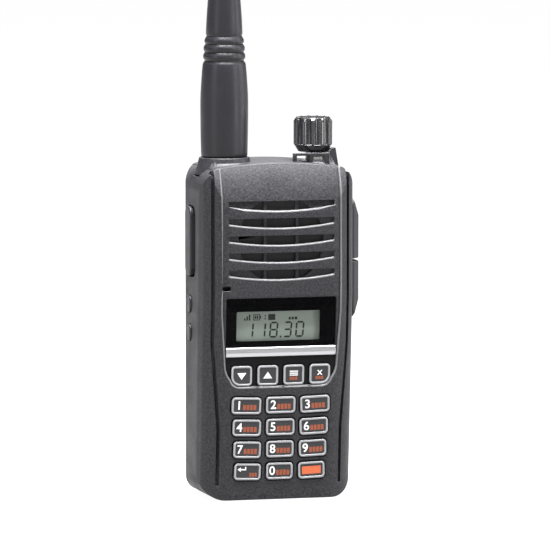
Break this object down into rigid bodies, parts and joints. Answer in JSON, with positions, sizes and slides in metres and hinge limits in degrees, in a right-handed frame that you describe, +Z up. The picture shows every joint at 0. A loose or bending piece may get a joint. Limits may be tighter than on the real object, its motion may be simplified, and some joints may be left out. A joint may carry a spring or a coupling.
{
  "type": "handheld aviation radio",
  "caption": "Handheld airband radio with a speaker grille, display window, keypad, volume knob, side press-to-talk button, battery pack and a tapered rubber antenna.",
  "frame": {"origin": "middle of the base that the radio stands on", "axes": "+Z up along the antenna, the front with the display faces -Y, +X to the viewer's right"},
  "size_m": [0.0561, 0.0341, 0.3047],
  "materials": {
    "case_plastic": "fine sparkle texture",
    "top_plastic": "fine texture",
    "cast_chassis": "black painted die casting",
    "pack_plastic": "fine texture",
    "rubber_black": "matt",
    "antenna_rubber": "satin",
    "window_clear": "polished",
    "mask_black": "printed film",
    "trim_silver": "satin silver",
    "lcd_green": "display cell",
    "white_plastic": "moulded",
    "board_green": "solder resist",
    "dome_steel": "plain",
    "key_smoke": "smoked, satin",
    "button_plastic": "satin",
    "knob_plastic": "semi gloss",
    "steel": "plain",
    "tin_plate": "plain",
    "brass_plate": "nickel or plain",
    "cloth_black": "woven",
    "cell_wrap": "shrink sleeve",
    "lens_white": "diffusing"
  },
  "bodies": {
    "radio": {"front_case": "case_plastic", "top_cover": "top_plastic", "rear_chassis": "cast_chassis", "main_seal": "rubber_black", "chassis_screws": "steel", "display_window": "window_clear", "window_mask": "mask_black", "ledge_trim": "trim_silver", "lcd_panel": "lcd_green", "lcd_frame": "white_plastic", "light_guide": "white_plastic", "lcd_connector": "rubber_black", "front_board": "board_green", "key_domes": "dome_steel", "key_sheet": "rubber_black", "side_board": "board_green", "side_switches": "white_plastic", "socket_cover_base": "rubber_black", "cover_screw": "steel", "jack_block": "button_plastic", "speaker": "tin_plate", "speaker_cloth": "cloth_black", "microphone": "tin_plate", "main_board": "board_green", "shield_can": "tin_plate", "volume_control": "tin_plate", "volume_nut": "steel", "status_lens": "lens_white", "antenna_socket": "brass_plate", "battery_case": "pack_plastic", "battery_lid": "pack_plastic", "battery_cells": "cell_wrap", "latch_spring": "steel"},
    "antenna": {"antenna_cover": "antenna_rubber", "antenna_rod": "brass_plate", "antenna_plug": "brass_plate", "antenna_pin": "brass_plate"},
    "volume": {"volume_knob": "knob_plastic", "volume_shaft": "steel"},
    "ptt": {"ptt_button": "button_plastic"},
    "side_upper": {"side_key_upper": "button_plastic"},
    "side_lower": {"side_key_lower": "button_plastic"},
    "flap": {"socket_cover_flap": "rubber_black"},
    "latch": {"battery_latch": "button_plastic"},
    "key_down_cap": {"key_down": "key_smoke"},
    "key_up_cap": {"key_up": "key_smoke"},
    "key_recall_cap": {"key_recall": "key_smoke"},
    "key_clear_cap": {"key_clear": "key_smoke"},
    "key_1_cap": {"key_1": "key_smoke"},
    "key_2_cap": {"key_2": "key_smoke"},
    "key_3_cap": {"key_3": "key_smoke"},
    "key_4_cap": {"key_4": "key_smoke"},
    "key_5_cap": {"key_5": "key_smoke"},
    "key_6_cap": {"key_6": "key_smoke"},
    "key_7_cap": {"key_7": "key_smoke"},
    "key_8_cap": {"key_8": "key_smoke"},
    "key_9_cap": {"key_9": "key_smoke"},
    "key_enter_cap": {"key_enter": "key_smoke"},
    "key_0_cap": {"key_0": "key_smoke"},
    "key_function_cap": {"key_function": "key_smoke"}
  },
  "joints": [
    {"name": "antenna_twist", "type": "hinge", "parent": "radio", "child": "antenna", "pos_m": [-0.015, 0.001, 0.11275], "axis": [0, 0, 1], "range_deg": [0, 90]},
    {"name": "volume_turn", "type": "hinge", "parent": "radio", "child": "volume", "pos_m": [0.0153, 0.001, 0.1139], "axis": [0, 0, -1], "range_deg": [0, 270]},
    {"name": "ptt_press", "type": "slide", "parent": "radio", "child": "ptt", "axis": [1, 0, 0], "range_m": [0, 0.001], "stiffness_N_per_m": 500, "springref_m": -0.002},
    {"name": "side_upper_press", "type": "slide", "parent": "radio", "child": "side_upper", "axis": [1, 0, 0], "range_m": [0, 0.0005], "stiffness_N_per_m": 400, "springref_m": -0.001},
    {"name": "side_lower_press", "type": "slide", "parent": "radio", "child": "side_lower", "axis": [1, 0, 0], "range_m": [0, 0.0005], "stiffness_N_per_m": 400, "springref_m": -0.001},
    {"name": "flap_hinge", "type": "hinge", "parent": "radio", "child": "flap", "pos_m": [0.0292, -0.00075, 0.0783], "axis": [0, 1, 0], "range_deg": [0, 120], "stiffness_Nm_per_rad": 0.002, "springref_deg": -5.73},
    {"name": "latch_slide", "type": "slide", "parent": "radio", "child": "latch", "axis": [0, 0, -1], "range_m": [0, 0.002], "stiffness_N_per_m": 600, "springref_m": -0.002, "deforming": ["latch_spring"]},
    {"name": "key_down_press", "type": "slide", "parent": "radio", "child": "key_down_cap", "axis": [0, 0.9972, 0.0748], "range_m": [0, 0.0006], "stiffness_N_per_m": 400, "springref_m": -0.001},
    {"name": "key_up_press", "type": "slide", "parent": "radio", "child": "key_up_cap", "axis": [0, 0.9972, 0.0748], "range_m": [0, 0.0006], "stiffness_N_per_m": 400, "springref_m": -0.001},
    {"name": "key_recall_press", "type": "slide", "parent": "radio", "child": "key_recall_cap", "axis": [0, 0.9972, 0.0748], "range_m": [0, 0.0006], "stiffness_N_per_m": 400, "springref_m": -0.001},
    {"name": "key_clear_press", "type": "slide", "parent": "radio", "child": "key_clear_cap", "axis": [0, 0.9972, 0.0748], "range_m": [0, 0.0006], "stiffness_N_per_m": 400, "springref_m": -0.001},
    {"name": "key_1_press", "type": "slide", "parent": "radio", "child": "key_1_cap", "axis": [0, 0.9972, 0.0748], "range_m": [0, 0.0006], "stiffness_N_per_m": 400, "springref_m": -0.001},
    {"name": "key_2_press", "type": "slide", "parent": "radio", "child": "key_2_cap", "axis": [0, 0.9972, 0.0748], "range_m": [0, 0.0006], "stiffness_N_per_m": 400, "springref_m": -0.001},
    {"name": "key_3_press", "type": "slide", "parent": "radio", "child": "key_3_cap", "axis": [0, 0.9972, 0.0748], "range_m": [0, 0.0006], "stiffness_N_per_m": 400, "springref_m": -0.001},
    {"name": "key_4_press", "type": "slide", "parent": "radio", "child": "key_4_cap", "axis": [0, 0.9972, 0.0748], "range_m": [0, 0.0006], "stiffness_N_per_m": 400, "springref_m": -0.001},
    {"name": "key_5_press", "type": "slide", "parent": "radio", "child": "key_5_cap", "axis": [0, 0.9972, 0.0748], "range_m": [0, 0.0006], "stiffness_N_per_m": 400, "springref_m": -0.001},
    {"name": "key_6_press", "type": "slide", "parent": "radio", "child": "key_6_cap", "axis": [0, 0.9972, 0.0748], "range_m": [0, 0.0006], "stiffness_N_per_m": 400, "springref_m": -0.001},
    {"name": "key_7_press", "type": "slide", "parent": "radio", "child": "key_7_cap", "axis": [0, 0.9972, 0.0748], "range_m": [0, 0.0006], "stiffness_N_per_m": 400, "springref_m": -0.001},
    {"name": "key_8_press", "type": "slide", "parent": "radio", "child": "key_8_cap", "axis": [0, 0.9972, 0.0748], "range_m": [0, 0.0006], "stiffness_N_per_m": 400, "springref_m": -0.001},
    {"name": "key_9_press", "type": "slide", "parent": "radio", "child": "key_9_cap", "axis": [0, 0.9972, 0.0748], "range_m": [0, 0.0006], "stiffness_N_per_m": 400, "springref_m": -0.001},
    {"name": "key_enter_press", "type": "slide", "parent": "radio", "child": "key_enter_cap", "axis": [0, 0.9972, 0.0748], "range_m": [0, 0.0006], "stiffness_N_per_m": 400, "springref_m": -0.001},
    {"name": "key_0_press", "type": "slide", "parent": "radio", "child": "key_0_cap", "axis": [0, 0.9972, 0.0748], "range_m": [0, 0.0006], "stiffness_N_per_m": 400, "springref_m": -0.001},
    {"name": "key_function_press", "type": "slide", "parent": "radio", "child": "key_function_cap", "axis": [0, 0.9972, 0.0748], "range_m": [0, 0.0006], "stiffness_N_per_m": 400, "springref_m": -0.001}
  ]
}
